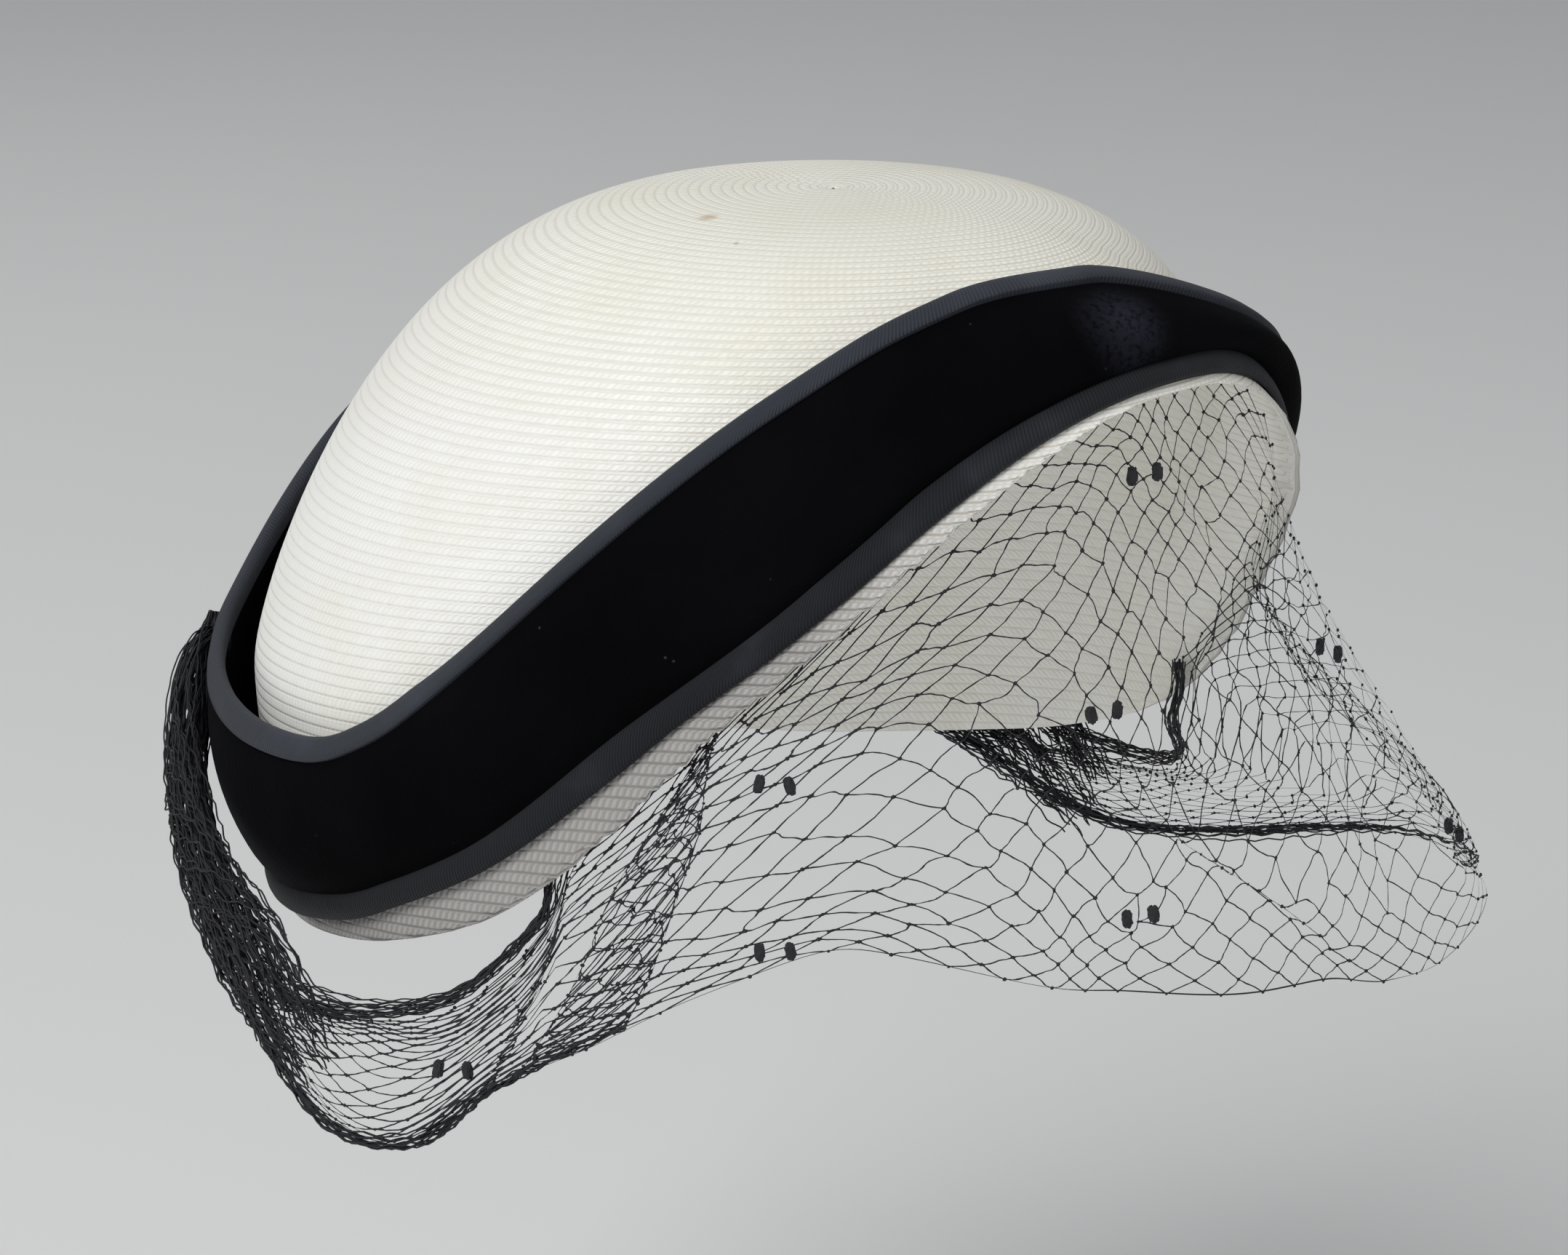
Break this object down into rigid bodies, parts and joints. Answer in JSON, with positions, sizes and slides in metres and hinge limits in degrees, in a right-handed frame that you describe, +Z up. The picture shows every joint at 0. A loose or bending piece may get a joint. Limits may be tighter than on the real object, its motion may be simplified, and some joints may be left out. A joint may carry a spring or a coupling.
{
  "type": "close straw hat with velvet cuff and veil",
  "caption": "Close-fitting sewn straw hat with a turned-up velvet cuff, taped edges and a short open net veil, shaped as it is worn.",
  "frame": {"origin": "middle of the head opening, where the hat sits on a head", "axes": "+Z up as worn on an upright head, the front of the hat towards -Y, the wearer's left towards +X"},
  "size_m": [0.2389, 0.2379, 0.1663],
  "materials": {
    "straw": "warm white sewn straw braid, satin, a little yellowed",
    "velvet": "black velvet, very matt, with a faint sheen at grazing angles",
    "ribbon": "blue-black ribbed tape, matt",
    "net_thread": "black knotted net thread with chenille tufts"
  },
  "bodies": {
    "root": {"straw_crown": "straw", "velvet_cuff": "velvet", "upper_binding": "ribbon", "lower_binding": "ribbon", "veil_net": "net_thread", "veil_roll_right": "net_thread", "veil_roll_left": "net_thread", "veil_gather_right": "net_thread", "veil_gather_left": "net_thread"}
  },
  "joints": []
}
